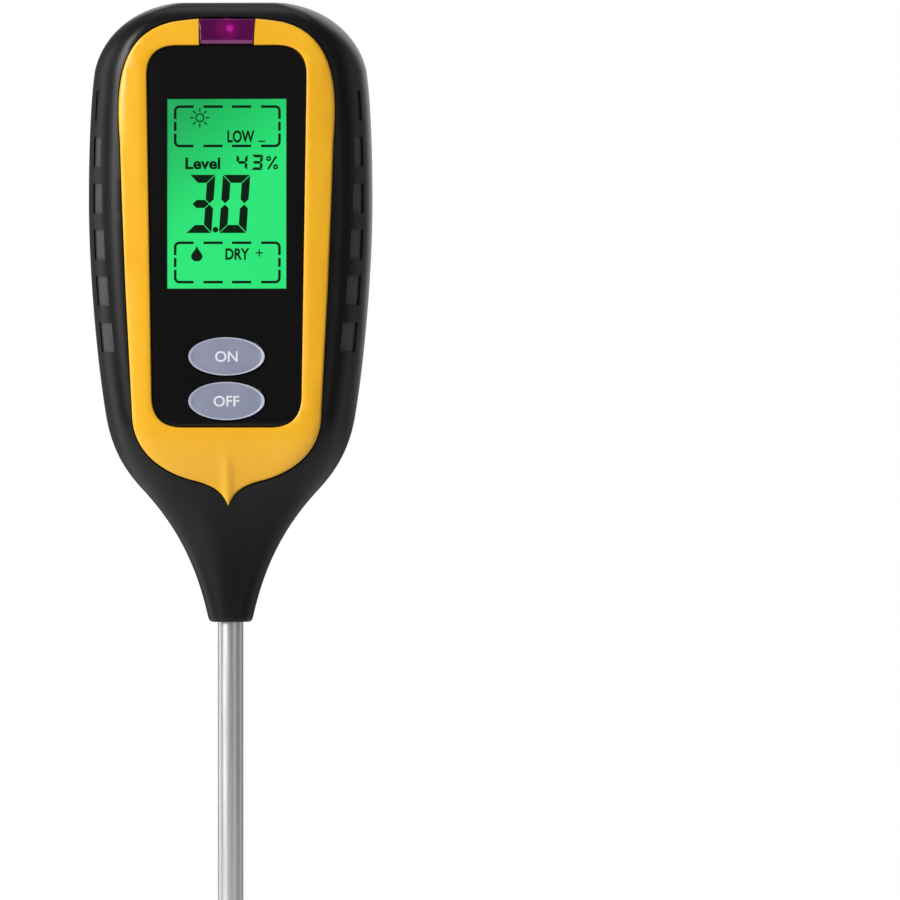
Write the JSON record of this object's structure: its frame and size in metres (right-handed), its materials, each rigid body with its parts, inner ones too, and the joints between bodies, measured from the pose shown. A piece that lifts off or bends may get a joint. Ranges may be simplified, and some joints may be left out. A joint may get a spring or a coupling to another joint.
{
  "type": "soil moisture meter",
  "caption": "Hand-held electronic soil meter: two-part head with LCD, oval buttons, mode slider and battery door, on a long straight metal probe.",
  "frame": {"origin": "on the probe axis in the plane of the neck's end face, which meets the soil surface when the probe is pushed fully in", "axes": "+Z along the probe axis towards the head, -Y out of the display, +X to the right as seen from the display side"},
  "size_m": [0.0618, 0.0368, 0.3321],
  "materials": {
    "black_plastic": "satin moulded ABS",
    "gloss_black": "polished acrylic panel",
    "yellow_plastic": "satin to gloss",
    "dark_window": "tinted, see-through",
    "lcd_glass": "backlit green display",
    "light_guide": "milky acrylic",
    "grey_button": "satin",
    "board_green": "solder mask",
    "chip_black": "matt resin",
    "elastomer": "silicone",
    "bright_metal": "fine drawn",
    "screw_steel": "plated",
    "brass": "turned",
    "white_plastic": "moulded",
    "battery_sleeve": "plain blue sleeve, no marks",
    "red_wire": "wire insulation",
    "black_wire": "wire insulation",
    "sensor_glass": "clear resin lens"
  },
  "bodies": {
    "meter": {"front_housing": "black_plastic", "rear_housing": "black_plastic", "trim_ring": "yellow_plastic", "sensor_window": "dark_window", "face_panel": "gloss_black", "lcd_glass": "lcd_glass", "backlight_guide": "light_guide", "lcd_strip_upper": "elastomer", "lcd_strip_lower": "elastomer", "main_board": "board_green", "controller_chip": "chip_black", "light_sensor": "sensor_glass", "board_screw_upper_left": "screw_steel", "board_screw_upper_right": "screw_steel", "board_screw_lower_left": "screw_steel", "board_screw_lower_right": "screw_steel", "tact_switch_on": "screw_steel", "tact_switch_off": "screw_steel", "slide_switch": "screw_steel", "switch_board": "board_green", "switch_lead": "white_plastic", "battery_9v": "battery_sleeve", "battery_snap": "black_wire", "battery_lead_red": "red_wire", "battery_lead_black": "black_wire", "air_sensor_board": "board_green", "air_sensor": "white_plastic", "air_sensor_lead": "white_plastic", "housing_screw_top_left": "screw_steel", "housing_screw_top_right": "screw_steel", "housing_screw_middle_left": "screw_steel", "housing_screw_middle_right": "screw_steel", "housing_screw_neck_left": "screw_steel", "housing_screw_neck_right": "screw_steel", "neck_pin_left": "screw_steel", "neck_pin_right": "screw_steel", "probe_tube": "bright_metal", "probe_collar": "brass", "probe_insulator": "white_plastic", "probe_tip": "bright_metal", "tip_lead": "red_wire", "thermistor": "chip_black", "tube_lead": "black_wire"},
    "on_button": {"button_on": "grey_button", "plunger_on": "chip_black"},
    "off_button": {"button_off": "grey_button", "plunger_off": "chip_black"},
    "mode_slider": {"slider_knob": "yellow_plastic", "slide_actuator": "white_plastic"},
    "battery_door": {"battery_door": "black_plastic"},
    "door_latch": {"door_latch": "black_plastic"}
  },
  "joints": [
    {"name": "on_button_press", "type": "slide", "parent": "meter", "child": "on_button", "axis": [0, 1, 0], "range_m": [0, 0.0008], "stiffness_N_per_m": 1500},
    {"name": "off_button_press", "type": "slide", "parent": "meter", "child": "off_button", "axis": [0, 1, 0], "range_m": [0, 0.0008], "stiffness_N_per_m": 1500},
    {"name": "mode_slide", "type": "slide", "parent": "meter", "child": "mode_slider", "axis": [-1, 0, 0], "range_m": [0, 0.0032]},
    {"name": "battery_door_swing", "type": "hinge", "parent": "meter", "child": "battery_door", "pos_m": [0, 0.022, 0.1156], "axis": [1, 0, 0], "range_deg": [0, 75]},
    {"name": "door_latch_flex", "type": "hinge", "parent": "battery_door", "child": "door_latch", "pos_m": [0, 0.0207, 0.0532], "axis": [1, 0, 0], "range_deg": [-7, 0], "stiffness_Nm_per_rad": 0.3}
  ]
}
